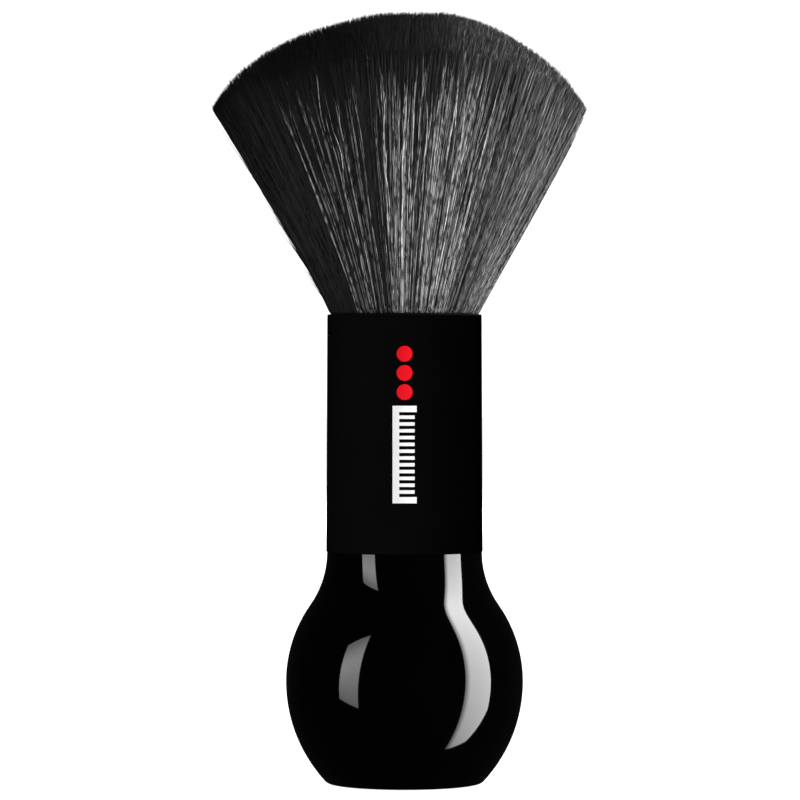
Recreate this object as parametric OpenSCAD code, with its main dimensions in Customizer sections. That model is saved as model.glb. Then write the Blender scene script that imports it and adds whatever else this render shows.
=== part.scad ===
// Neck duster brush that stands on its own handle: a gloss bulb, a matte sleeve and a fanned tuft.
// Millimetres. The handle's axis is Z, the base plane is Z = 0 and the printed side faces -Y.

/* [Bulb] */
// Radius of the bulb at its widest
bulb_r = 29; // [28:0.25:30]
// Height of the widest point above the base plane
bulb_mid_z = 25.3; // [24:0.1:26.5]
// Radius of the arc from the widest point down to the foot
low_arc = 35.8; // [35:0.2:38]
// Radius of the arc from the widest point up to the waist
up_arc = 32.4; // [31:0.2:34]
// Rounding at the foot of the bulb
foot_round = 2; // [1.2:0.1:2.4]
// Radius of the neck, just under the sleeve
neck_r = 18.95; // [18.75:0.05:19.05]
// Height of the joint between bulb and sleeve
neck_z = 57; // [55.5:0.5:59]
// Radius of the bore up the middle, which takes the assembly screw and its driver
driver_bore_r = 5.3; // [5.3:0.1:6]

/* [Sleeve and collar] */
// Outer radius of the sleeve at its lower end
sleeve_low_r = 19.15; // [19.1:0.05:19.4]
// Outer radius of the sleeve at its upper end
sleeve_top_r = 18.9; // [18.8:0.05:19.1]
// Inner radius of the sleeve
sleeve_bore_r = 17.9; // [17.8:0.05:18]
// Height of the collar's upper edge
collar_z = 115; // [112:0.5:118]
// Thickness of the collar's visible lip
lip_h = 0.45; // [0.3:0.05:0.8]

/* [Tuft] */
// Height of the crown
crown_z = 188.5; // [184:0.5:192]
// Radius of the sphere that the tips are trimmed to
dome_r = 58.7; // [57:0.1:61]
// Radius of the fan just above the collar
fan_root_r = 18.7; // [18.2:0.1:19]
// Growth of the fan's half-width for each millimetre of height
fan_slope_x = 0.549; // [0.5:0.001:0.58]
// Growth of the fan's half-depth for each millimetre of height
fan_slope_y = 0.283; // [0.2:0.001:0.54]

/* [Print] */
// Height of the comb picture's middle
comb_z = 81; // [80:0.1:81]
// Length of the comb picture
comb_l = 23.4; // [20:0.2:23.6]
// Number of teeth in the comb picture
comb_teeth = 12; // [8:1:14]
// Height of the lowest dot's centre
dots_z = 96; // [95.6:0.2:98]
// Diameter of a dot
dot_d = 3.8; // [2.4:0.2:4.2]

/* [Base] */
// Radius of the pocket in the bulb's base
base_bore_r = 16; // [15.5:0.1:16.2]
// How far the foot pad stands proud of the bulb
pad_proud = 0.4; // [0.3:0.05:0.6]
// Radius of the foot pad
pad_r = 13.5; // [12:0.25:14]
// Height of the steel weight
weight_h = 7; // [4:0.5:9]

/* [Hidden] */
$fn = 96;

// Bulb outline: two convex arcs and a hollow one meet tangentially, and the foot is rounded.
neck_arc = (pow(neck_z - bulb_mid_z, 2) + pow(bulb_r - neck_r, 2)) / (2 * (bulb_r - neck_r)) - up_arc;
foot_z = pad_proud;
foot_cz = foot_z + foot_round;
foot_cx = bulb_r - low_arc + sqrt(pow(low_arc - foot_round, 2) - pow(bulb_mid_z - foot_cz, 2));
foot_top_z = bulb_mid_z - (bulb_mid_z - foot_cz) * low_arc / (low_arc - foot_round);
neck_bevel = 0.1;

// Tenon at the top of the turned handle, which carries the sleeve and the cup.
tenon_r = sleeve_bore_r - 0.05;
tenon_z = collar_z - 27;
tenon_web_h = 5;
screw_hole_r = 2.3;
sleeve_bevel = 0.1;

// Base closure.
plug_h = 2.8;
pad_h = 1.2;
weight_z = foot_z + plug_h;
pocket_z = weight_z + weight_h;
weight_r = base_bore_r - 0.4;

// Cup that holds the knot.
cup_bore_r = 16.6;
cup_mouth_r = 17.3;
cup_flare_h = 6;
cup_floor_z = tenon_z + 5;
knot_z = cup_floor_z + 4;
binding_r = 0.7;
binding_z = knot_z + 4;

// Screw, washer and insert.
insert_r = 3;
insert_bore_r = 1.7;
flange_r = 4.2;
flange_h = 0.8;
washer_r = 5;
washer_h = 1;
washer_z = tenon_z - tenon_web_h - washer_h;
head_r = 3.8;
head_h = 2.6;
head_z = washer_z - head_h;
screw_tip_z = tenon_z + 4.2;

// Fan of the tuft.
splay_h = 1.2;
fan_z = collar_z + splay_h;
dome_cz = crown_z - dome_r;
groove_r = cup_bore_r - 2 * binding_r - 0.1;
tuft_sides = 64;
dome_steps = 7;

// Printed film.
film = 0.08;
spine_w = 1.6;
tooth_l = 4.2;
end_tooth_h = 1.5;
dot_count = 3;
dot_pitch = 4.6;

// A point of the fan at angle a and at height h above fan_z.
function fan_point(a, h) =
    [(fan_root_r + fan_slope_x * h) * cos(a), (fan_root_r + fan_slope_y * h) * sin(a), fan_z + h];

// Height above fan_z at which the fan meets the sphere that trims the tips.
function rim_h(a) =
    let (u = pow(cos(a), 2), v = pow(sin(a), 2), g = fan_z - dome_cz,
         qa = pow(fan_slope_x, 2) * u + pow(fan_slope_y, 2) * v + 1,
         qb = 2 * (fan_root_r * (fan_slope_x * u + fan_slope_y * v) + g),
         qc = pow(fan_root_r, 2) + pow(g, 2) - pow(dome_r, 2))
    (sqrt(qb * qb - 4 * qa * qc) - qb) / (2 * qa);

// A point of the domed tips on the line from the rim at angle a to the crown, at share s of the way out.
function dome_point(a, s) =
    let (p = fan_point(a, rim_h(a)), x = s * p[0], y = s * p[1])
    [x, y, dome_cz + sqrt(dome_r * dome_r - x * x - y * y)];

// The half outline of the bulb above the rounded foot.
module bulb_outline() {
    lap = 3;
    join_z = bulb_mid_z + up_arc * (neck_z - bulb_mid_z) / (up_arc + neck_arc);
    intersection() {
        translate([bulb_r - low_arc, bulb_mid_z]) circle(r = low_arc);
        translate([0, foot_top_z]) square([bulb_r + 1, bulb_mid_z - foot_top_z]);
    }
    intersection() {
        translate([bulb_r - up_arc, bulb_mid_z]) circle(r = up_arc);
        translate([0, bulb_mid_z - lap]) square([bulb_r + 1, join_z - bulb_mid_z + lap]);
    }
    difference() {
        translate([0, join_z]) square([bulb_r, neck_z - join_z]);
        translate([neck_r + neck_arc, neck_z]) circle(r = neck_arc);
    }
}

// The rounded foot of the half outline, closed to the axis.
module foot_outline() {
    translate([0, foot_z]) square([foot_cx, foot_top_z - foot_z]);
    intersection() {
        translate([foot_cx, foot_cz]) circle(r = foot_round);
        translate([foot_cx, foot_z]) square([foot_round, foot_top_z - foot_z]);
    }
}

// A tube drawn as a rectangle from r1 to r2 and from z1 to z2.
module ring(r1, r2, z1, z2) {
    rotate_extrude() translate([r1, z1]) square([r2 - r1, z2 - z1]);
}

// Everything within film of the sleeve's face on the printed side.
module film_zone() {
    h = collar_z - lip_h - neck_z;
    intersection() {
        translate([0, 0, neck_z]) difference() {
            cylinder(h = h, r1 = sleeve_low_r + film, r2 = sleeve_top_r + film);
            cylinder(h = h, r1 = sleeve_low_r, r2 = sleeve_top_r);
        }
        rotate([90, 0, 0]) linear_extrude(height = sleeve_low_r + 1) children();
    }
}

module bulb_handle() {
    color([0.02, 0.02, 0.022]) rotate_extrude() difference() {
        union() {
            bulb_outline();
            foot_outline();
            translate([0, neck_z]) square([tenon_r, tenon_z - neck_z]);
        }
        polygon([[neck_r - neck_bevel, neck_z], [neck_r + 1, neck_z], [neck_r + 1, neck_z - 1.25 - neck_bevel],
                 [neck_r, neck_z - neck_bevel]]);
        translate([0, foot_z]) square([base_bore_r, pocket_z - foot_z]);
        translate([0, pocket_z]) square([driver_bore_r, tenon_z - tenon_web_h - pocket_z]);
        translate([0, tenon_z - tenon_web_h]) square([screw_hole_r, tenon_web_h]);
    }
}

module base_plug() {
    color([0.05, 0.05, 0.055]) difference() {
        translate([0, 0, foot_z]) cylinder(h = plug_h, r = base_bore_r);
        cylinder(h = pad_h, r = pad_r);
    }
}

module foot_pad() {
    color([0.08, 0.08, 0.08]) cylinder(h = pad_h, r = pad_r);
}

module steel_weight() {
    color([0.62, 0.63, 0.65]) rotate_extrude() translate([0, weight_z])
        polygon([[0, 0], [weight_r, 0], [weight_r, weight_h - 0.6], [weight_r - 0.6, weight_h], [0, weight_h]]);
}

module sleeve() {
    top_z = collar_z - lip_h;
    color([0.06, 0.06, 0.062]) rotate_extrude() polygon([
        [sleeve_bore_r, neck_z], [sleeve_low_r - sleeve_bevel, neck_z], [sleeve_low_r, neck_z + sleeve_bevel],
        [sleeve_top_r, top_z - sleeve_bevel], [sleeve_top_r - sleeve_bevel, top_z], [sleeve_bore_r, top_z]]);
}

module knot_cup() {
    lip_z = collar_z - lip_h;
    bevel = lip_h / 3;
    color([0.3, 0.3, 0.31]) rotate_extrude() polygon([
        [insert_r, tenon_z], [tenon_r, tenon_z], [tenon_r, lip_z], [sleeve_top_r, lip_z],
        [sleeve_top_r, collar_z - bevel], [sleeve_top_r - bevel, collar_z], [cup_mouth_r, collar_z],
        [cup_bore_r, collar_z - cup_flare_h], [cup_bore_r, cup_floor_z], [flange_r, cup_floor_z],
        [flange_r, cup_floor_z - flange_h], [insert_r, cup_floor_z - flange_h]]);
}

module resin_plug() {
    color([0.75, 0.6, 0.3]) translate([0, 0, cup_floor_z]) cylinder(h = knot_z - cup_floor_z, r = cup_bore_r);
}

module knot_binding() {
    color([0.8, 0.78, 0.7]) translate([0, 0, binding_z])
        rotate_extrude() translate([cup_bore_r - binding_r - 0.05, 0]) circle(r = binding_r);
}

module bristle_tuft() {
    n = tuft_sides;
    angles = [for (i = [0:n - 1]) 360 * i / n];
    root = [[cup_bore_r, knot_z], [cup_bore_r, binding_z - binding_r], [groove_r, binding_z - binding_r],
            [groove_r, binding_z + binding_r], [cup_bore_r, binding_z + binding_r],
            [cup_bore_r, collar_z - cup_flare_h], [cup_mouth_r, collar_z], [fan_root_r, fan_z]];
    rings = concat(
        [for (q = root) [for (a = angles) [q[0] * cos(a), q[0] * sin(a), q[1]]]],
        [for (k = [0:dome_steps - 1]) [for (a = angles) dome_point(a, 1 - k / dome_steps)]]);
    last = (len(rings) - 1) * n;
    points = concat([for (ring = rings) for (p = ring) p], [[0, 0, crown_z]]);
    sides = [for (k = [0:len(rings) - 2]) for (i = [0:n - 1])
        [k * n + i, (k + 1) * n + i, (k + 1) * n + (i + 1) % n, k * n + (i + 1) % n]];
    crown = [for (i = [0:n - 1]) [last + i, last + n, last + (i + 1) % n]];
    color([0.12, 0.12, 0.125])
        polyhedron(points = points, faces = concat([[for (i = [0:n - 1]) i]], sides, crown));
}

module threaded_insert() {
    groove = 0.4;
    h = cup_floor_z - tenon_z;
    color([0.78, 0.6, 0.28]) rotate_extrude() translate([0, tenon_z]) polygon([
        [insert_bore_r, 0], [insert_r - groove, 0], [insert_r, groove], [insert_r, 1.6], [insert_r - groove, 1.8],
        [insert_r - groove, 2.4], [insert_r, 2.6], [insert_r, h - flange_h], [flange_r, h - flange_h],
        [flange_r, h], [insert_bore_r, h]]);
}

module assembly_screw() {
    color([0.7, 0.7, 0.72]) difference() {
        rotate_extrude() polygon([
            [0, head_z], [head_r - 0.8, head_z], [head_r, head_z + 0.8], [head_r, washer_z],
            [insert_bore_r, washer_z], [insert_bore_r, screw_tip_z - 0.5], [insert_bore_r - 0.5, screw_tip_z],
            [0, screw_tip_z]]);
        translate([0, 0, head_z - 1]) cylinder(h = 2.6, r = 1.75, $fn = 6);
    }
}

module screw_washer() {
    color([0.66, 0.67, 0.69]) ring(screw_hole_r - 0.2, washer_r, washer_z, washer_z + washer_h);
}

module printed_comb() {
    pitch = (comb_l - 2 * end_tooth_h) / (comb_teeth + 0.5);
    w = spine_w + tooth_l;
    color([0.92, 0.92, 0.9]) film_zone() translate([-w / 2, comb_z - comb_l / 2]) {
        square([spine_w, comb_l]);
        for (z = [0, comb_l - end_tooth_h]) translate([0, z]) square([w, end_tooth_h]);
        for (i = [0:comb_teeth - 1])
            translate([0, end_tooth_h + (i + 0.5) * pitch]) square([w - 0.5, pitch / 2]);
    }
}

module printed_dots() {
    color([0.75, 0.05, 0.06]) film_zone()
        for (i = [0:dot_count - 1]) translate([0, dots_z + i * dot_pitch]) circle(d = dot_d);
}

bulb_handle();
base_plug();
foot_pad();
steel_weight();
sleeve();
knot_cup();
resin_plug();
knot_binding();
bristle_tuft();
threaded_insert();
assembly_screw();
screw_washer();
printed_comb();
printed_dots();
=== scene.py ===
"""Neck duster brush: looks, fibres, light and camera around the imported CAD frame."""
import math

import bpy
import numpy as np
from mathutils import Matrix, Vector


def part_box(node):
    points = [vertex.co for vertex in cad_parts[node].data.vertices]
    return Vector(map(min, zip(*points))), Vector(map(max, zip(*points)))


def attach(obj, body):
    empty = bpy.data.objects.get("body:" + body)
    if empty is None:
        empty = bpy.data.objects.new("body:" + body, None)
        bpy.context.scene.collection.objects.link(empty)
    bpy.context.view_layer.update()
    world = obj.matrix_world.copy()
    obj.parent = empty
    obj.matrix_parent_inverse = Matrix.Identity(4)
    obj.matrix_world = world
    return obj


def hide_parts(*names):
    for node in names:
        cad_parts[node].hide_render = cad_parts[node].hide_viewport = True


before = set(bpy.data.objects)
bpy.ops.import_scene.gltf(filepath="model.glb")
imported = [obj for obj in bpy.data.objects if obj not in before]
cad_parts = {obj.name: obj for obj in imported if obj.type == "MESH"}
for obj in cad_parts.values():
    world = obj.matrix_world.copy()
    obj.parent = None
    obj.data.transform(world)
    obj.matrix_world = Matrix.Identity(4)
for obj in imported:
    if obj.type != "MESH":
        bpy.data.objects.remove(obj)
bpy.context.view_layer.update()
scene = bpy.context.scene
MM = 0.001

# ---------------------------------------------------------------- sizes from the frame
tuft_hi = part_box("bristle_tuft")[1]
collar_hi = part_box("knot_cup")[1]
collar_z, collar_r, crown_z = collar_hi.z, collar_hi.x, tuft_hi.z


def tuft_rim():
    """The corner of the fan: its half-width, its half-depth and the height of the corner on the wide side."""
    points = np.array([v.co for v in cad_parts["bristle_tuft"].data.vertices])
    corner = points[points[:, 0].argmax()]
    return tuft_hi.x, tuft_hi.y, corner[2]


rim_w, rim_d, corner_z = tuft_rim()
dome_r = (rim_w**2 + (crown_z - corner_z) ** 2) / (2 * (crown_z - corner_z))
dome_cz = crown_z - dome_r
rim_front_z = dome_cz + math.sqrt(dome_r**2 - rim_d**2)

# Fan profile: fibres stand straight in the cup, splay over its lip and run straight to the tips.
CUP_R = collar_r - 1.75 * MM
SPLAY_R = collar_r - 0.2 * MM
SPLAY_H = 1.4 * MM
MOUTH_DEPTH = 1 * MM  # how far below the lip the splay starts
ROOT_DEPTH = 3 * MM  # how far below the lip the modelled fibres start
splay_z = collar_z + SPLAY_H
root_z = collar_z - ROOT_DEPTH

# How the tuft departs from that profile.
SIDE_SAG = 3.0 * MM  # the sides hang inwards above the lip
LEAN = (1.5 * MM, -4.4 * MM)  # the sides lean right low down and left higher up
CROWN_SHIFT = 2.4 * MM  # the middle leans right
LEFT_SPREAD = 0.7 * MM  # the left side is wider
CORNER_LOSS = 1.1 * MM  # the corners of the fan are trimmed
CROWN_FLAT = 0.45 * MM  # the dome is fuller beside its top, further out on the right

TUFT_GRAIN = 0.5 * MM  # width of a tuft of cut ends that share one tone
GRAIN_CELLS = 97  # tufts in a row before their tones repeat
SHARP_TURN = math.radians(20)  # the least turn of an outline that counts as a corner
ON_AXIS = 1e-9  # an outline point with a smaller radius is on the axis


# ---------------------------------------------------------------- turned pieces
def section(node):
    """The half outline (r, z) of a turned CAD node, counter-clockwise, read along its mesh's seam at y = 0."""
    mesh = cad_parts[node].data
    grid = 1e-7
    place = {v.index: (round(v.co.x / grid), round(v.co.z / grid))
             for v in mesh.vertices if abs(v.co.y) < grid and v.co.x > -grid}
    links = {}
    for edge in mesh.edges:
        a, b = (place.get(i) for i in edge.vertices)
        if a and b and a != b:
            links.setdefault(a, []).append(b)
            links.setdefault(b, []).append(a)
    ends = [point for point in links if len(set(links[point])) == 1]
    path = [min(ends) if ends else max(links)]
    while True:
        ahead = [q for q in links[path[-1]] if q not in path[-2:]]
        if not ahead or ahead[0] == path[0]:
            break
        path.append(ahead[0])
    if ends:
        path = [(0, path[0][1])] + path + [(0, path[-1][1])]
    outline = np.array(path) * grid
    r, z = outline.T
    area = (r * np.roll(z, -1) - np.roll(r, -1) * z).sum()
    return outline if area > 0 else outline[::-1]


def rounded(outline, radius, steps=6, soften=6):
    """The outline with its sharp corners rounded, and the outward normal at each of its points. The normals along
    smooth runs are averaged with their neighbours soften times, which eases one arc into the next."""
    points, normals, on_run = [], [], []
    for before, here, after in zip(np.roll(outline, 1, 0), outline, np.roll(outline, -1, 0)):
        run_in, run_out = np.linalg.norm(here - before), np.linalg.norm(after - here)
        way_in, way_out = (here - before) / run_in, (after - here) / run_out
        out_in, out_out = np.array([way_in[1], -way_in[0]]), np.array([way_out[1], -way_out[0]])
        turn = math.acos(np.clip(way_in @ way_out, -1, 1))
        if here[0] < ON_AXIS:
            points.append(here)
            normals.append(out_in if before[0] > ON_AXIS else out_out)
        elif turn < SHARP_TURN:
            points.append(here)
            normals.append((out_in * run_out + out_out * run_in) / (run_in + run_out))
            on_run.append(len(points) - 1)
        else:
            cut = min(radius * math.tan(turn / 2), 0.42 * run_in, 0.42 * run_out)
            r = cut / math.tan(turn / 2)
            bend = math.copysign(1, way_in[0] * way_out[1] - way_in[1] * way_out[0])
            centre = here - way_in * cut - out_in * r * bend
            for k in range(steps + 1):
                n = out_in * math.sin(turn * (1 - k / steps)) + out_out * math.sin(turn * k / steps)
                n /= np.linalg.norm(n)
                points.append(centre + n * r * bend)
                normals.append(n)
    normals = np.array(normals)
    on_run = np.array(on_run, int)
    for _ in range(soften):
        mean = (np.roll(normals, 1, 0) + 2 * normals + np.roll(normals, -1, 0)) / 4
        normals[on_run] = mean[on_run]
    return np.array(points), normals / np.linalg.norm(normals, axis=1, keepdims=True)


def turned_piece(node, material, edge, steps=320):
    """Remakes a turned CAD node as a fine lathe mesh with rounded edges and smooth normals."""
    points, normals = rounded(section(node), edge)
    turn = np.arange(steps) * 2 * math.pi / steps
    on_axis = points[:, 0] < ON_AXIS
    co, no, first = [], [], []
    for (r, z), (nr, nz), axis in zip(points, normals, on_axis):
        first.append(len(co))
        for t in turn[:1] if axis else turn:
            co.append((r * math.cos(t), r * math.sin(t), z))
            no.append((nr * math.cos(t), nr * math.sin(t), nz))
    closed = np.vstack([points, points[:1]])
    along = np.concatenate([[0], np.cumsum(np.linalg.norm(np.diff(closed, axis=0), axis=1))])
    along /= along[-1]
    faces, uv = [], []
    for k in range(len(points)):
        m = (k + 1) % len(points)
        if on_axis[k] and on_axis[m]:
            continue
        for i in range(steps):
            j = (i + 1) % steps
            u, w = i / steps, (i + 1) / steps
            if on_axis[k]:
                faces.append((first[k], first[m] + j, first[m] + i))
                uv += [(u, along[k]), (w, along[k + 1]), (u, along[k + 1])]
            elif on_axis[m]:
                faces.append((first[k] + i, first[k] + j, first[m]))
                uv += [(u, along[k]), (w, along[k]), (u, along[k + 1])]
            else:
                faces.append((first[k] + i, first[k] + j, first[m] + j, first[m] + i))
                uv += [(u, along[k]), (w, along[k]), (w, along[k + 1]), (u, along[k + 1])]
    mesh = bpy.data.meshes.new(node + "_turned")
    mesh.from_pydata(co, [], faces)
    mesh.uv_layers.new(name="OFBake").data.foreach_set("uv", np.array(uv).ravel())
    mesh.polygons.foreach_set("use_smooth", np.ones(len(faces), bool))
    mesh.normals_split_custom_set_from_vertices(no)
    mesh.materials.append(material)
    piece = bpy.data.objects.new(node + "_turned", mesh)
    scene.collection.objects.link(piece)
    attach(piece, "root")
    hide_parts(node)
    return piece


# ---------------------------------------------------------------- fibre geometry
def smooth(t):
    """A soft step from 0 to 1 while t goes from 0 to 1."""
    t = np.clip(t, 0, 1)
    return t * t * (3 - 2 * t)


def half_extent(z, rim, rim_z):
    """Half-width (or half-depth) of the fan at height z, for a rim of that half-width at rim_z."""
    mouth = CUP_R + (SPLAY_R - CUP_R) * smooth((z - collar_z + MOUTH_DEPTH) / (SPLAY_H + MOUTH_DEPTH))
    u = np.clip((z - splay_z) / (rim_z - splay_z), 0, 1.4)
    fan = SPLAY_R + (rim - SPLAY_R) * u - SIDE_SAG * u * (1 - np.minimum(u, 1)) ** 4
    return np.where(z < splay_z, mouth, fan)


def rim_height(c, s):
    """Height at which the fan's side at direction (c, s) meets the dome, found by a few fixed-point steps."""
    z = np.full(len(c), corner_z)
    for _ in range(12):
        x = half_extent(z, rim_w, corner_z) * c
        y = half_extent(z, rim_d, rim_front_z) * s
        z = dome_cz + np.sqrt(dome_r**2 - x**2 - y**2)
    return z


class Fibres:
    """A batch of fibres. angle is the direction and share the distance at which each one sits in the knot (1 is the
    outside), tip how far it passes the dome, wander the size of its waves, drift its sideways lean, flare how far
    its end bends outwards, reach the share of the full height at which it ends, and turns the range of the number
    of its waves."""

    def __init__(self, angle, share, rng, tip=0.0, wander=0.0, drift=0.0, flare=0.0, reach=1.0, turns=(0.6, 1.9)):
        n = len(angle)
        self.angle, self.share, self.rng, self.turns = angle, share, rng, turns
        self.tip, self.wander, self.drift, self.flare, self.reach = (
            np.broadcast_to(value, n) for value in (tip, wander, drift, flare, reach))

    def paths(self, levels, start_z):
        """Centre lines with a ring at each of the levels, which are shares of the way from start_z to the tip."""
        c, s = np.cos(self.angle), np.sin(self.angle)
        z_rim = rim_height(c, s)
        rx = self.share * half_extent(z_rim, rim_w, corner_z) * c
        ry = self.share * half_extent(z_rim, rim_d, rim_front_z) * s
        top = dome_cz + np.sqrt(dome_r**2 - np.minimum(rx**2 + ry**2, 0.95 * dome_r**2))
        own = levels[None, :]
        across = self.share * c
        off_middle = np.abs(across)
        cut = self.tip - CORNER_LOSS * smooth((off_middle - 0.86) / 0.14)
        cut = cut + CROWN_FLAT * smooth(off_middle / 0.2) * (1 - smooth((np.abs(across - 0.27) - 0.45) / 0.2))
        z = start_z[:, None] + (top + cut - start_z)[:, None] * (own * self.reach[:, None])
        # A fibre nearer the axis rises higher, so its place in the fan is looked up at its rim's height.
        stretch = ((z_rim - splay_z) / (top - splay_z))[:, None]
        look = np.where(z > splay_z, splay_z + (z - splay_z) * stretch, z)
        x = self.share[:, None] * half_extent(look, rim_w, corner_z) * c[:, None]
        y = self.share[:, None] * half_extent(look, rim_d, rim_front_z) * s[:, None]
        rise = np.clip((z - splay_z) / (crown_z - splay_z), 0, 1)
        n = len(c)
        phase = self.rng.uniform(0, 2 * math.pi, (n, 2))
        turns = self.rng.uniform(*self.turns, (n, 2))
        wave = self.wander[:, None] * rise * np.sin(2 * math.pi * turns[:, :1] * rise + phase[:, :1])
        lift = self.wander[:, None] * rise * (np.sin(2 * math.pi * turns[:, 1:] * rise + phase[:, 1:]) - 0.6) / 2
        side = wave + self.drift[:, None] * rise**1.3
        out = lift + self.flare[:, None] * own**4
        at_side = smooth((off_middle[:, None] - 0.1) / 0.65)
        low = np.minimum(rise, 0.7)
        lean = at_side * (LEAN[0] * low + LEAN[1] * low**2) + (1 - at_side) * CROWN_SHIFT * rise**2
        spread = LEFT_SPREAD * smooth(-across[:, None] / 0.6) * rise
        x += out * c[:, None] - side * s[:, None] + lean - spread
        y += out * s[:, None] + side * c[:, None]
        return np.stack([x, y, z], 2)


def tube_mesh(name, paths, radius, taper, tone, along):
    """One mesh of three-sided tubes along paths (n, rings, 3), closed at both ends, with a UV of tone and height."""
    n, k, _ = paths.shape
    step = np.gradient(paths, axis=1)
    step /= np.linalg.norm(step, axis=2, keepdims=True)
    side = np.cross(step, np.array([0.0, 1.0, 0.0]))
    side /= np.linalg.norm(side, axis=2, keepdims=True)
    other = np.cross(step, side)
    golden = math.pi * (3 - math.sqrt(5))
    turn = np.arange(n)[:, None, None] * golden + np.arange(3)[None, None, :] * (2 * math.pi / 3)
    r = (radius[:, None] * taper[None, :])[:, :, None]
    cos, sin = (np.cos(turn) * r)[..., None], (np.sin(turn) * r)[..., None]
    co = paths[:, :, None, :] + cos * side[:, :, None, :] + sin * other[:, :, None, :]
    grid = np.arange(n * k * 3).reshape(n, k, 3)
    nxt = np.roll(grid, -1, axis=2)
    quads = np.stack([grid[:, :-1], nxt[:, :-1], nxt[:, 1:], grid[:, 1:]], 3).reshape(-1, 4)
    caps = np.concatenate([grid[:, 0, ::-1], grid[:, -1]])
    loops = np.concatenate([quads.ravel(), caps.ravel()])
    sizes = np.concatenate([np.full(len(quads), 4), np.full(len(caps), 3)])
    mesh = bpy.data.meshes.new(name)
    mesh.vertices.add(n * k * 3)
    mesh.vertices.foreach_set("co", co.ravel())
    mesh.loops.add(len(loops))
    mesh.loops.foreach_set("vertex_index", loops)
    mesh.polygons.add(len(sizes))
    mesh.polygons.foreach_set("loop_start", np.concatenate([[0], np.cumsum(sizes)[:-1]]))
    mesh.polygons.foreach_set("loop_total", sizes)
    mesh.polygons.foreach_set("use_smooth", np.ones(len(sizes), bool))
    u = np.repeat(tone, k * 3)
    v = np.broadcast_to(along[None, :, None], (n, k, 3)).ravel()
    mesh.uv_layers.new(name="OFBake").data.foreach_set("uv", np.stack([u[loops], v[loops]], 1).ravel())
    mesh.update()
    mesh.validate()
    return mesh


def tuft_piece(mesh, material):
    """A piece of the tuft; all of them together stand in for the soft CAD solid."""
    mesh.materials.append(material)
    piece = bpy.data.objects.new(mesh.name, mesh)
    scene.collection.objects.link(piece)
    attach(piece, "root")
    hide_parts("bristle_tuft")
    return piece


# Where along a fibre its rings sit: close together at the lip of the cup, and closer all along where it is wavy.
SIDE_LEVELS = np.array([0, 0.045, 0.075, 0.14, 0.3, 0.48, 0.66, 0.84, 1.0])
WAVY_LEVELS = np.concatenate([SIDE_LEVELS[:4], np.linspace(0.19, 1.0, 18)])


def long_tubes(name, fibres, radius, tone, material, levels=SIDE_LEVELS):
    """A piece of fibres that rise from the root of the knot. tone runs from 0, dark, to 1, pale."""
    start = np.full(len(fibres.angle), root_z)
    taper = np.where(levels < 1, 1.0, 0.5)
    tone = np.clip(tone, 0.01, 0.99)
    return tuft_piece(tube_mesh(name, fibres.paths(levels, start), radius, taper, tone, levels), material)


def inner_fibres(material, count, pieces):
    """The even dark mass of fibres that shows between the strands, paler on the far left and the far right as painted
    light in place of the window and the key, which don't light it.
    """
    rng = np.random.default_rng(17)
    made = []
    n = count // pieces
    for p in range(pieces):
        # The outermost layer takes most of them, and the rest lie between it and the core.
        share = np.where(rng.uniform(0, 1, n) < 0.6, rng.uniform(0.972, 0.998, n), rng.uniform(0.87, 0.972, n))
        angle = rng.uniform(0, 2 * math.pi, n)
        fibres = Fibres(angle, share, rng, 0.0, rng.uniform(0.05, 0.25, n) * MM, rng.normal(0, 0.4, n) * MM, 0.0,
                        rng.uniform(0.86, 0.985, n))
        radius = rng.normal(0.105, 0.014, n).clip(0.07, 0.14) * MM
        # Painted light: the fibres are paler on the far right, where the key would light them, and a little paler on
        # the far left, where the window would.
        painted_side_light = 0.65 * smooth((np.cos(angle) - 0.62) / 0.3) + 0.14 * smooth((-0.6 - np.cos(angle)) / 0.25)
        tone = rng.uniform(0, 0.3, n) + painted_side_light
        made.append(long_tubes(f"bristles_inner_{p + 1}", fibres, radius, tone, material))
    return made


def lit(angle):
    """How many of the fibres in a direction stand out as pale strands, whose pale tone is a painted highlight: few on
    the far left, most from the middle to the right, where the key falls."""
    return 0.004 + 0.33 * smooth((np.cos(angle) + 0.63) / 0.08) + 0.66 * smooth((np.cos(angle) + 0.35) / 0.45)


def paleness(angle):
    """How pale the strands of a direction are, a painted highlight: paler where the key only grazes them, dull on the
    far right.
    """
    return 0.95 - 0.2 * smooth((np.cos(angle) + 0.3) / 0.7) - 0.46 * smooth((np.cos(angle) - 0.3) / 0.4)


def lit_angles(count, rng):
    """Directions drawn all around the tuft, of which those that aren't lit are dropped."""
    angle = rng.uniform(0, 2 * math.pi, count)
    return angle[rng.uniform(0, 1, count) < lit(angle)]


# Kinds of pale fibre, whose pale tone is a painted highlight: name, count before the unlit ones go, fibres in each,
# their spread in radians, the share of the height at which the shortest end, and the darkest tone.
PALE_KINDS = (("strands", 290, 3, 0.0012, 0.85, 0.3),
              ("singles", 780, 1, 0, 0.8, 0))


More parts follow.
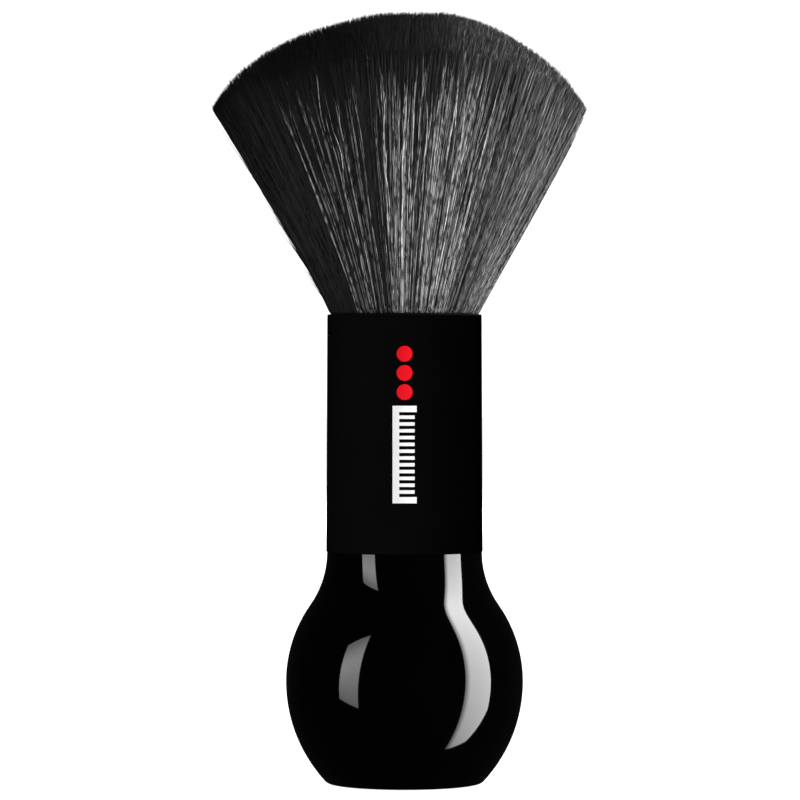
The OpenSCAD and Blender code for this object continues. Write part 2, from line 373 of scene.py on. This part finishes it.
def side_fibres(material):
    """The pale strands that lie over the fan's sides, most of them ending a little below the rim; their pale tone is
    a painted highlight.
    """
    rng = np.random.default_rng(11)
    made = []
    for name, count, each, spread, shortest, darkest in PALE_KINDS:
        angle = lit_angles(count, rng)
        strands = len(angle)
        share = np.clip(rng.normal(1.0, 0.004, strands), 0.99, 1.008)
        drift = rng.normal(0, 0.8, strands)
        # Painted highlight: the strands are paler where the key falls, through paleness.
        tone = rng.uniform(darkest, 1, strands) * paleness(angle)
        reach = rng.uniform(shortest, 0.96, strands) + 0.05 * smooth(np.cos(angle) / 0.5)
        strand = np.repeat(np.arange(strands), each)
        n = len(strand)
        fibres = Fibres(angle[strand] + rng.normal(0, spread, n), share[strand] + rng.normal(0, 0.002, n), rng, 0.0,
                        rng.uniform(0.05, 0.45, n) * MM, (drift[strand] + rng.normal(0, 0.2, n)) * MM, 0.0,
                        reach[strand] - rng.gamma(1.0, 0.02, n), (1.5, 6))
        radius = rng.normal(0.08, 0.014, n).clip(0.055, 0.12) * MM
        tone = 0.8 * tone[strand] + rng.uniform(0, 0.2, n)
        made.append(long_tubes(f"bristles_{name}", fibres, radius, tone, material, WAVY_LEVELS))
    return made


def loose_fibres(material):
    """Single fibres that cross the others, and short ones whose ends stand out of the sides."""
    rng = np.random.default_rng(5)
    # Painted highlight: the crossing fibres are set where the key falls and made pale there.
    angle = lit_angles(700, rng)
    n = len(angle)
    fibres = Fibres(angle, rng.uniform(0.995, 1.006, n), rng, 0.0, rng.uniform(0.5, 1.6, n) * MM,
                    rng.normal(0, 2.6, n) * MM, 0.0, rng.uniform(0.75, 0.98, n), (1, 4))
    radius = rng.uniform(0.06, 0.1, n) * MM
    tone = rng.uniform(0.5, 1, n) * paleness(angle)
    crossing = long_tubes("bristles_loose", fibres, radius, tone, material, WAVY_LEVELS)

    n = 3600
    fibres = Fibres(rng.uniform(0, 2 * math.pi, n), rng.uniform(0.98, 0.998, n), rng, 0.0,
                    rng.uniform(0.1, 0.4, n) * MM, rng.normal(0, 0.8, n) * MM,
                    rng.gamma(1.4, 0.24, n) * MM, rng.uniform(0.2, 1.0, n))
    radius = rng.uniform(0.06, 0.09, n) * MM
    tone = rng.uniform(0, 0.1, n)
    ends = long_tubes("bristles_flyaway", fibres, radius, tone, material)
    return [crossing, ends]


def tip_fibres(material, count, pieces):
    """The cut ends that make up the domed top, in small tufts of one tone; painted light leaves them darkest left of
    the middle and paler towards the right.
    """
    rng = np.random.default_rng(23)
    levels = np.array([0, 0.6, 1.0])
    taper = np.array([1, 0.9, 0.35])
    heights = np.array([0.5, 0.6, 0.7])
    grain = rng.uniform(0, 1, (GRAIN_CELLS, GRAIN_CELLS))
    made = []
    n = count // pieces
    for p in range(pieces):
        angle = rng.uniform(0, 2 * math.pi, n)
        share = np.where(rng.uniform(0, 1, n) < 0.2, rng.uniform(0.97, 1.0, n), np.sqrt(rng.uniform(0, 1, n)))
        stray = rng.uniform(0, 1, n) < 0.03
        tip = np.where(stray, rng.normal(0.4, 0.25, n), rng.normal(-0.1, 0.3, n)) * MM
        fibres = Fibres(angle, share, rng, tip, rng.uniform(0.05, 0.4, n) * MM, rng.normal(0, 0.8 * MM, n))
        z_rim = rim_height(np.cos(angle), np.sin(angle))
        start = z_rim - rng.uniform(4, 26, n) * MM + (1 - share**2) * (crown_z - z_rim)
        radius = rng.normal(0.085, 0.012, n).clip(0.06, 0.12) * MM
        col, row = (np.stack([np.cos(angle) * rim_w, np.sin(angle) * rim_d]) * share / TUFT_GRAIN).astype(int)
        tone = 0.6 * grain[col % GRAIN_CELLS, row % GRAIN_CELLS] + 0.4 * rng.uniform(0, 1, n)
        # Painted light: the cut ends are paler to the right, where the key falls, and a little on the far left;
        # darkest just left of the middle.
        across = share * np.cos(angle)
        pale = 0.4 + 0.46 * smooth((across + 0.15) / 0.5) + 0.22 * smooth((-0.45 - across) / 0.3)
        tone = np.clip(1.15 * tone - 0.05, 0.01, 0.99) * pale
        mesh = tube_mesh(f"bristles_tip_{p + 1}", fibres.paths(levels, start), radius, taper, tone, heights)
        made.append(tuft_piece(mesh, material))
    return made


def core_body(material):
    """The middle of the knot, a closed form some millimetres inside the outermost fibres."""
    n, inset, below_dome = 96, 0.87, 4.5 * MM
    angle = np.arange(n) * 2 * math.pi / n
    c, s = np.cos(angle), np.sin(angle)
    rings = []
    z_rim = rim_height(c, s)
    for up in [0, 0.05, 0.1, 0.25, 0.45, 0.65, 0.82, 0.93]:
        z = root_z + (z_rim - root_z) * up
        rings.append(np.stack([inset * half_extent(z, rim_w, corner_z) * c,
                               inset * half_extent(z, rim_d, rim_front_z) * s, z], 1))
    for out in [0.96, 0.85, 0.7, 0.5, 0.3, 0.12]:
        x, y = inset * rim_w * c * out, inset * rim_d * s * out
        z = dome_cz + np.sqrt(dome_r**2 - x**2 - y**2) - below_dome
        rings.append(np.stack([x, y, z], 1))
    co = np.concatenate(rings)
    faces = [list(range(n))[::-1], [len(co) - n + i for i in range(n)]]
    for k in range(len(rings) - 1):
        for i in range(n):
            j = (i + 1) % n
            faces.append([k * n + i, k * n + j, (k + 1) * n + j, (k + 1) * n + i])
    mesh = bpy.data.meshes.new("bristles_core")
    mesh.from_pydata(co.tolist(), [], faces)
    mesh.shade_smooth()
    tuft_piece(mesh, material)


# ---------------------------------------------------------------- materials
class Shader:
    """A small helper that builds a Principled material from nodes."""

    def __init__(self, name, **values):
        self.material = bpy.data.materials.new(name)
        self.material.use_nodes = True
        self.tree = self.material.node_tree
        self.bsdf = self.tree.nodes["Principled BSDF"]
        for key, value in values.items():
            self.bsdf.inputs[key.replace("_", " ")].default_value = value

    def node(self, kind, **values):
        made = self.tree.nodes.new(kind)
        for key, value in values.items():
            if key in made.inputs:
                made.inputs[key].default_value = value
            else:
                setattr(made, key, value)
        return made

    def link(self, a, b):
        self.tree.links.new(a, b)

    def ramp(self, source, stops):
        made = self.node("ShaderNodeValToRGB")
        ramp = made.color_ramp
        while len(ramp.elements) < len(stops):
            ramp.elements.new(0.5)
        for element, (at, color) in zip(ramp.elements, stops):
            element.position = at
            element.color = (*color, 1) if isinstance(color, tuple) else (color, color, color, 1)
        self.link(source, made.inputs["Fac"])
        return made.outputs["Color"]

    def noise(self, scale, detail=4.0, stretch=(1, 1, 1)):
        place = self.node("ShaderNodeTexCoord")
        mapping = self.node("ShaderNodeMapping")
        mapping.inputs["Scale"].default_value = stretch
        self.link(place.outputs["Object"], mapping.inputs["Vector"])
        made = self.node("ShaderNodeTexNoise", Scale=scale, Detail=detail)
        self.link(mapping.outputs["Vector"], made.inputs["Vector"])
        return made.outputs["Fac"]

    def times(self, a, b):
        """The product of two colours."""
        made = self.node("ShaderNodeMix", data_type="RGBA", blend_type="MULTIPLY")
        made.inputs[0].default_value = 1.0
        self.link(a, made.inputs[6])
        self.link(b, made.inputs[7])
        return made.outputs[2]

    def bump(self, height, strength, distance):
        made = self.node("ShaderNodeBump", Strength=strength, Distance=distance)
        self.link(height, made.inputs["Height"])
        self.link(made.outputs["Normal"], self.bsdf.inputs["Normal"])


def plastic(name, dark, light, roughness, spread, bump, bump_scale, specular=0.5):
    """Moulded plastic: a slightly uneven colour and roughness, and a fine surface texture."""
    made = Shader(name)
    made.bsdf.inputs["Specular IOR Level"].default_value = specular
    grain = made.noise(bump_scale)
    cloud = made.noise(bump_scale / 40)
    made.link(made.ramp(cloud, [(0.3, dark), (0.7, light)]), made.bsdf.inputs["Base Color"])
    made.link(made.ramp(cloud, [(0.3, roughness - spread), (0.7, roughness + spread)]), made.bsdf.inputs["Roughness"])
    made.bump(grain, bump, 0.05 * MM)
    return made.material


def metal(name, dark, light, roughness, stretch):
    """Turned or plated metal with fine marks."""
    made = Shader(name, Metallic=1.0)
    marks = made.noise(2500, 3.0, stretch)
    made.link(made.ramp(marks, [(0.35, dark), (0.65, light)]), made.bsdf.inputs["Base Color"])
    made.link(made.ramp(marks, [(0.3, roughness * 0.7), (0.7, roughness * 1.3)]), made.bsdf.inputs["Roughness"])
    made.bump(marks, 0.15, 0.02 * MM)
    return made.material


def bristle_material(name, tones, roughness, specular, tip=1.0, broken=False):
    """Dark nylon fibre: tone differs from strand to strand, the root is darker and the tip may be, both painted
    shade, and a broken tone comes and goes along the fibre, a painted highlight broken along its length."""
    made = Shader(name, Roughness=roughness)
    made.bsdf.inputs["Specular IOR Level"].default_value = specular
    uv = made.node("ShaderNodeUVMap", uv_map="OFBake")
    parts = made.node("ShaderNodeSeparateXYZ")
    made.link(uv.outputs["UV"], parts.inputs["Vector"])
    tone = made.ramp(parts.outputs["X"], tones)
    # Painted shade: darker at the root, by the cup, and towards the tip when tip is below 1.
    height = made.ramp(parts.outputs["Y"], [(0.0, 0.6), (0.3, 1.0), (0.86, 1.0), (1.0, tip)])
    if broken:
        # Painted highlight: the tone comes and goes in short pieces along the fibre, as its waves would break up its
        # sheen.
        highlight_dashes = made.ramp(made.noise(260, 2.0, (5, 5, 1)), [(0.38, 0.2), (0.56, 1.6)])
        height = made.times(height, highlight_dashes)
    made.link(made.times(tone, height), made.bsdf.inputs["Base Color"])
    return made.material


def core_material():
    """The shadow in the middle of the knot."""
    made = Shader("bristle_shadow", Roughness=0.9)
    made.bsdf.inputs["Specular IOR Level"].default_value = 0.1
    grain = made.noise(900, 4.0, (1, 1, 0.05))
    made.link(made.ramp(grain, [(0.35, 0.002), (0.7, 0.006)]), made.bsdf.inputs["Base Color"])
    made.bump(grain, 0.5, 0.2 * MM)
    return made.material


def gloss_black():
    """Polished black lacquer with a very faint unevenness in its gloss."""
    made = Shader("gloss_black")
    made.bsdf.inputs["IOR"].default_value = 1.5
    cloud = made.noise(60, 3.0)
    made.link(made.ramp(cloud, [(0.3, (0.0002, 0.0002, 0.00022)), (0.7, (0.0004, 0.0004, 0.00045))]),
              made.bsdf.inputs["Base Color"])
    made.link(made.ramp(cloud, [(0.3, 0.03), (0.7, 0.05)]), made.bsdf.inputs["Roughness"])
    made.bump(made.noise(110, 2.0), 0.012, 0.4 * MM)
    return made.material


def dress(node, material):
    """Gives a CAD node that keeps its own mesh its material."""
    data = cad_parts[node].data
    data.materials.clear()
    data.materials.append(material)


turned_piece("bulb_handle", gloss_black(), 0.1 * MM)
sleeve = turned_piece("sleeve", plastic("matte_black", 0.0036, 0.0044, 0.75, 0.08, 0.2, 4000, 0.0), 0.1 * MM)
collar = turned_piece("knot_cup", plastic("collar_black", 0.004, 0.006, 0.6, 0.06, 0.1, 3000, 0.0), 0.12 * MM)
turned_piece("base_plug", plastic("plug_black", 0.008, 0.014, 0.55, 0.08, 0.3, 2500), 0.2 * MM)
turned_piece("foot_pad", plastic("pad_foam", 0.012, 0.03, 0.9, 0.05, 0.8, 1800, 0.2), 0.25 * MM)
turned_piece("steel_weight", metal("weight_steel", 0.3, 0.5, 0.3, (1, 1, 8)), 0.2 * MM)
dress("resin_plug", plastic("resin", (0.35, 0.2, 0.05), (0.5, 0.32, 0.1), 0.2, 0.05, 0.1, 400))
dress("knot_binding", plastic("binding_cord", (0.4, 0.35, 0.27), (0.6, 0.55, 0.45), 0.8, 0.1, 0.8, 3000, 0.2))
zinc = metal("zinc_steel", 0.5, 0.65, 0.28, (1, 1, 1))
dress("assembly_screw", zinc)
dress("screw_washer", zinc)
dress("threaded_insert", metal("brass", (0.6, 0.4, 0.13), (0.8, 0.58, 0.25), 0.25, (1, 1, 4)))
dress("printed_comb", plastic("ink_white", 0.9, 0.95, 0.5, 0.05, 0.2, 5000, 0.1))
dress("printed_dots", plastic("ink_red", (0.74, 0.008, 0.016), (0.8, 0.01, 0.02), 0.5, 0.05, 0.2, 5000, 0.0))

# The upper tones of these ramps are painted light: the sheen of the pale strands, the paler sides of the filling and
# the pale cut ends on the right.
strand = bristle_material("bristle_nylon", [(0.0, 0.025), (0.2, 0.05), (0.5, 0.28), (0.8, 0.56)], 0.3, 0.8,
                          tip=0.3, broken=True)
inner = bristle_material("bristle_inner", [(0.0, 0.034), (0.3, 0.058), (1.0, 0.42)], 0.6, 0.2)
ends = bristle_material("bristle_ends", [(0.0, 0.022), (0.4, 0.032), (0.65, 0.085), (1.0, 0.74)], 0.45, 0.3)
filling, tips = inner_fibres(inner, 14000, 4), tip_fibres(ends, 40000, 3)
tuft = filling + tips + side_fibres(strand) + loose_fibres(strand)
core_body(core_material())


# ---------------------------------------------------------------- floor, light and camera
def floor():
    """A pale floor with a glow of its own, which gives the object no light and isn't mirrored in it."""
    bpy.ops.mesh.primitive_plane_add(size=40, location=(0, 0, 0))
    made = bpy.context.object
    made.name = "floor"
    material = bpy.data.materials.new("floor_white")
    material.use_nodes = True
    nodes, links = material.node_tree.nodes, material.node_tree.links
    nodes.clear()
    out = nodes.new("ShaderNodeOutputMaterial")
    add = nodes.new("ShaderNodeAddShader")
    paint = nodes.new("ShaderNodeBsdfDiffuse")
    paint.inputs["Color"].default_value = (0.6, 0.6, 0.6, 1)
    glow = nodes.new("ShaderNodeEmission")
    glow.inputs["Strength"].default_value = 1.0
    links.new(paint.outputs[0], add.inputs[0])
    links.new(glow.outputs[0], add.inputs[1])
    links.new(add.outputs[0], out.inputs["Surface"])
    made.data.materials.append(material)
    made.visible_diffuse = made.visible_glossy = made.visible_shadow = False


def sky():
    """White behind the object for the camera, almost dark for everything that the object reflects."""
    world = bpy.data.worlds.new("studio")
    scene.world = world
    world.use_nodes = True
    nodes, links = world.node_tree.nodes, world.node_tree.links
    nodes.clear()
    out = nodes.new("ShaderNodeOutputWorld")
    mix = nodes.new("ShaderNodeMixShader")
    path = nodes.new("ShaderNodeLightPath")
    dim, white = nodes.new("ShaderNodeBackground"), nodes.new("ShaderNodeBackground")
    dim.inputs["Strength"].default_value = 0.01
    white.inputs["Color"].default_value = (1, 1, 1, 1)
    white.inputs["Strength"].default_value = 1.2
    links.new(path.outputs["Is Camera Ray"], mix.inputs["Fac"])
    links.new(dim.outputs[0], mix.inputs[1])
    links.new(white.outputs[0], mix.inputs[2])
    links.new(mix.outputs[0], out.inputs["Surface"])


LAMP_FOOT, LAMP_HEAD = -0.78, 1.02  # the heights between which a panel's radiance runs from foot to head
FADE_FLOOR = 0.3


def softbox(name, corners, foot, head, fade=None, dark_to=(), mirrored=True):
    """A glowing panel that the camera doesn't see. Its radiance runs from foot at the height LAMP_FOOT to head at
    LAMP_HEAD. fade gives a direction and the two places along it between which the panel's edge gains its full
    strength. The objects in dark_to get no light from it, and no surface mirrors it unless mirrored is true."""
    mesh = bpy.data.meshes.new(name)
    mesh.from_pydata(corners, [], [list(range(len(corners)))])
    material = bpy.data.materials.new(name)
    material.use_nodes = True
    nodes, links = material.node_tree.nodes, material.node_tree.links
    nodes.clear()
    out = nodes.new("ShaderNodeOutputMaterial")
    glow = nodes.new("ShaderNodeEmission")
    place = nodes.new("ShaderNodeNewGeometry")
    parts = nodes.new("ShaderNodeSeparateXYZ")
    rise = nodes.new("ShaderNodeMapRange")
    for key, value in zip(("From Min", "From Max", "To Min", "To Max"), (LAMP_FOOT, LAMP_HEAD, foot, head)):
        rise.inputs[key].default_value = value
    links.new(place.outputs["Position"], parts.inputs["Vector"])
    links.new(parts.outputs["Z"], rise.inputs["Value"])
    strength = rise.outputs["Result"]
    if fade:
        way, start, end = fade
        dot = nodes.new("ShaderNodeVectorMath")
        dot.operation = "DOT_PRODUCT"
        dot.inputs[1].default_value = way
        edge = nodes.new("ShaderNodeMapRange")
        edge.interpolation_type = "SMOOTHSTEP"
        for key, value in zip(("From Min", "From Max", "To Min", "To Max"), (start, end, FADE_FLOOR, 1.0)):
            edge.inputs[key].default_value = value
        times = nodes.new("ShaderNodeMath")
        times.operation = "MULTIPLY"
        links.new(place.outputs["Position"], dot.inputs[0])
        links.new(dot.outputs["Value"], edge.inputs["Value"])
        links.new(strength, times.inputs[0])
        links.new(edge.outputs["Result"], times.inputs[1])
        strength = times.outputs[0]
    links.new(strength, glow.inputs["Strength"])
    links.new(glow.outputs[0], out.inputs["Surface"])
    mesh.materials.append(material)
    made = bpy.data.objects.new(name, mesh)
    scene.collection.objects.link(made)
    made.visible_camera = made.visible_shadow = False
    made.visible_glossy = mirrored
    if dark_to:
        group = bpy.data.collections.new(name + "_flags")
        for piece in dark_to:
            group.objects.link(piece)
        for entry in group.collection_objects:
            entry.light_linking.link_state = "EXCLUDE"
        made.light_linking.receiver_collection = group


floor()
sky()

# The key stands upright on the right, from a little in front of the brush to level with it. Its edges lean back, its
# lower far corner is cut off and its near edge fades in. Its two halves light different pieces.
KEY_X, KEY_NEAR_Y, KEY_LEAN = 0.6, -0.35, 0.086
KEY_SPLIT = 0.45
KEY_CUT = ((KEY_X, -0.14, -0.45), -0.15)  # the foot of the cut, and the height at which it meets the far edge
KEY_GLOW = (4.2, 19.5)
KEY_FADE = ((0, 1, -KEY_LEAN), KEY_NEAR_Y, -0.262)

# The left softbox is a slanted window, brightest at mid height.
WINDOW = [(-0.73, -0.70, -0.30), (-1.57, -0.70, -0.30), (-1.40, -0.70, 0.85), (-0.61, -0.70, 0.79)]
WINDOW_GLOW = (0.0, 8.4)
WINDOW_FADE = ((0, 0, -1), -0.85, -0.25)

# Two even fills soften the shadows in front and behind.
FILL_FRONT_GLOW = (2.2, 2.2)
FILL_BEHIND_GLOW = (10.0, 10.0)


def key_near(z):
    """The point of the key's near edge at height z."""
    return (KEY_X, KEY_NEAR_Y + KEY_LEAN * z, z)


def key_far(z):
    """The point of the key's far edge at height z."""
    return (KEY_X, 0.5 * KEY_LEAN * z, z)


def upright(half_width, y, low, high):
    """The corners of an upright panel across the y axis."""
    return [(-half_width, y, low), (half_width, y, low), (half_width, y, high), (-half_width, y, high)]


softbox("key_low", [key_near(LAMP_FOOT), KEY_CUT[0], key_far(KEY_CUT[1]), key_far(KEY_SPLIT), key_near(KEY_SPLIT)],
        *KEY_GLOW, KEY_FADE, filling + [sleeve])
softbox("key_high", [key_near(KEY_SPLIT), key_far(KEY_SPLIT), key_far(LAMP_HEAD), key_near(LAMP_HEAD)],
        *KEY_GLOW, KEY_FADE, filling + tips + [sleeve, collar])
softbox("window_left", WINDOW, *WINDOW_GLOW, WINDOW_FADE, tuft)
softbox("fill_front", upright(1, -2.5, -0.9, 1.1), *FILL_FRONT_GLOW, mirrored=False)
softbox("fill_behind", upright(0.7, 2.2, -1.0, 0.7), *FILL_BEHIND_GLOW, mirrored=False)

camera = bpy.data.objects.new("camera", bpy.data.cameras.new("camera"))
scene.collection.objects.link(camera)
camera.location = (-1.1 * MM, -979 * MM, 94.1 * MM)  # level, at about half the brush's height
camera.rotation_euler = (math.radians(90), 0, 0)
camera.data.lens = 180
camera.data.sensor_width = 36
camera.data.clip_end = 60
scene.camera = camera
scene.view_settings.view_transform = "Standard"
